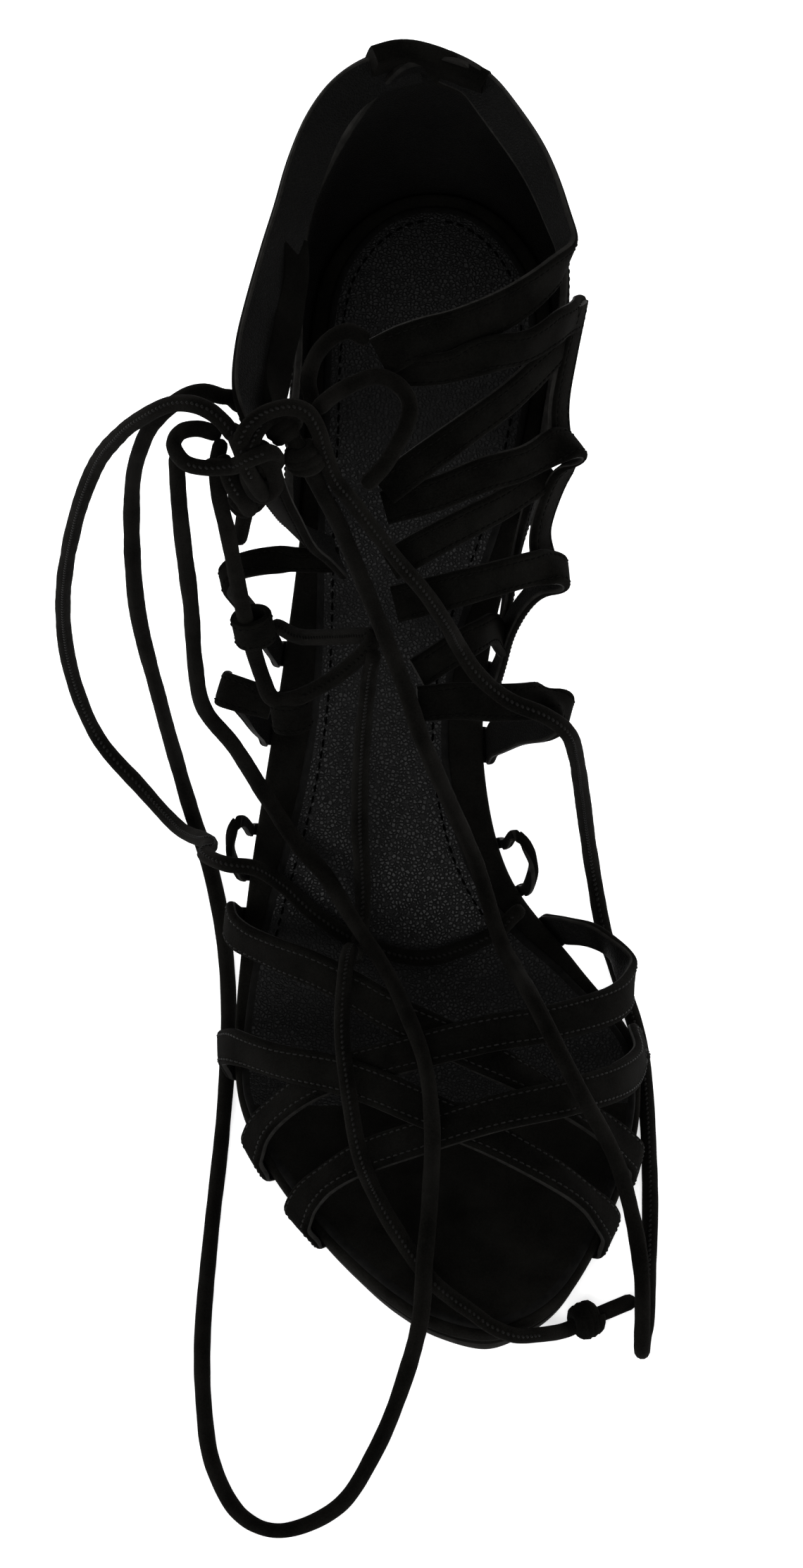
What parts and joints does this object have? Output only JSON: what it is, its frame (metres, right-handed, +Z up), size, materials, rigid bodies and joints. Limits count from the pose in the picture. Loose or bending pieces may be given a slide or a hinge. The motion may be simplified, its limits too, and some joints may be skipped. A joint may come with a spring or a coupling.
{
  "type": "strappy stiletto sandal",
  "caption": "Black suede lace-up strappy sandal for the right foot on a high slim heel, with crossed toe straps, instep straps, a heel counter, an ankle collar and a long loose cord lace.",
  "frame": {"origin": "the middle of the shoe's footprint, on the floor, measured without the free lace", "axes": "+Z up, the toe points to -Y and the heel to +Y, and +X is the inner side of the right shoe"},
  "size_m": [0.1229, 0.2538, 0.1635],
  "materials": {
    "sole_leather": "smooth black sole leather",
    "suede": "matt black suede with a soft nap",
    "sock_leather": "black leather with a fine pebble grain",
    "rubber": "hard black rubber",
    "lace_cord": "round black suede cord"
  },
  "bodies": {
    "root": {"outsole": "sole_leather", "insole": "suede", "sock": "sock_leather", "heel": "suede", "heel_tip": "rubber", "upper": "suede", "lace_crossings": "lace_cord", "lace_loop_lateral": "lace_cord", "lace_end_lateral": "lace_cord", "lace_end_medial": "lace_cord", "lace_loop_medial": "lace_cord", "lace_bow": "lace_cord", "lace_arc_high": "lace_cord", "lace_arc_low": "lace_cord", "lace_strand": "lace_cord"}
  },
  "joints": []
}
